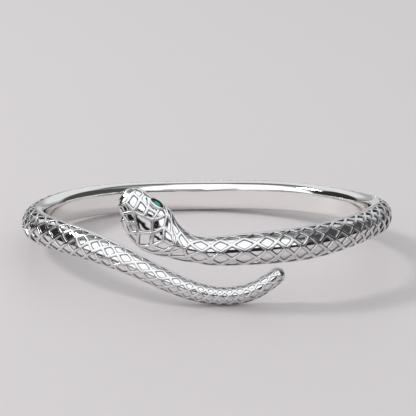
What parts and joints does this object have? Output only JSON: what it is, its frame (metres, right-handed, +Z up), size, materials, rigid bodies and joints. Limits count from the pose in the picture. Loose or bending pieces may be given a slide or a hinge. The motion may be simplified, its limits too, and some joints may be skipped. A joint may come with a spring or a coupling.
{
  "type": "snake bracelet",
  "caption": "Open oval bangle cast as a snake that crosses over its own tail, with a raised net of ribs outside, a smooth inside and a faceted green stone for each eye.",
  "frame": {"origin": "on the floor, under the middle of the bangle's box, as it lies by itself", "axes": "+X to the right along the long axis of the oval, +Y to the back of the band, +Z up; the head and the tail cross at -Y"},
  "size_m": [0.0656, 0.0584, 0.0194],
  "materials": {
    "polished_silver": "mirror polished silver",
    "green_stone": "faceted and polished deep green"
  },
  "bodies": {
    "root": {"snake_cuff": "polished_silver", "right_eye_stone": "green_stone", "left_eye_stone": "green_stone"}
  },
  "joints": []
}
